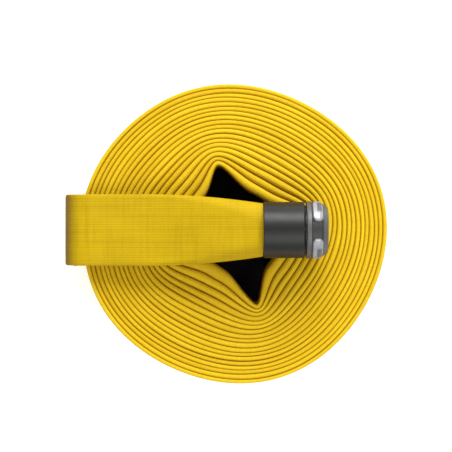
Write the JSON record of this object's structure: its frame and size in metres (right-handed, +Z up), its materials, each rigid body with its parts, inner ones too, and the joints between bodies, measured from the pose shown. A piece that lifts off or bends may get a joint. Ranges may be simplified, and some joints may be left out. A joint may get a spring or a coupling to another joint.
{
  "type": "rolled fire hose",
  "caption": "Yellow lay-flat fire hose in a tight single roll, its outer end folded over the top and ending in a dark swivel coupling.",
  "frame": {"origin": "centre of the bounding box at the resting face under the roll", "axes": "+X from the side fold towards the swivel coupling's mouth, +Z up along the roll's axis, +Y across"},
  "size_m": [0.3176, 0.2936, 0.1279],
  "materials": {
    "yellow_jacket": "woven, matt, lightly waxed sheen",
    "inner_weave": "plain undyed weave",
    "liner_rubber": "smooth",
    "dark_coupling": "dark hard-anodised, satin",
    "swivel_metal": "dark anodised with worn bright lugs",
    "ring_brass": "rolled",
    "gasket_rubber": "matt",
    "wire_steel": "drawn"
  },
  "bodies": {
    "roll": {"hose_roll": "yellow_jacket", "side_fold": "yellow_jacket", "fold_bend": "yellow_jacket", "male_coupling": "dark_coupling", "male_expansion_ring": "ring_brass", "male_tail_gasket": "gasket_rubber", "core_outer_jacket": "yellow_jacket", "core_inner_jacket": "inner_weave", "core_liner": "liner_rubber"},
    "free_end": {"end_outer_jacket": "yellow_jacket", "end_inner_jacket": "inner_weave", "end_liner": "liner_rubber", "female_bowl": "dark_coupling", "female_expansion_ring": "ring_brass", "female_tail_gasket": "gasket_rubber", "retaining_wire": "wire_steel"},
    "swivel": {"swivel_ring": "swivel_metal", "swivel_gasket": "gasket_rubber"}
  },
  "joints": [
    {"name": "end_lift", "type": "hinge", "parent": "roll", "child": "free_end", "pos_m": [-0.15237, 0.00364, 0.0822], "axis": [0, -1, 0], "range_deg": [0, 90], "deforming": ["fold_bend"]},
    {"name": "swivel_turn", "type": "hinge", "parent": "free_end", "child": "swivel", "pos_m": [0.08753, 0.00364, 0.1], "axis": [1, 0, 0], "continuous": true}
  ]
}
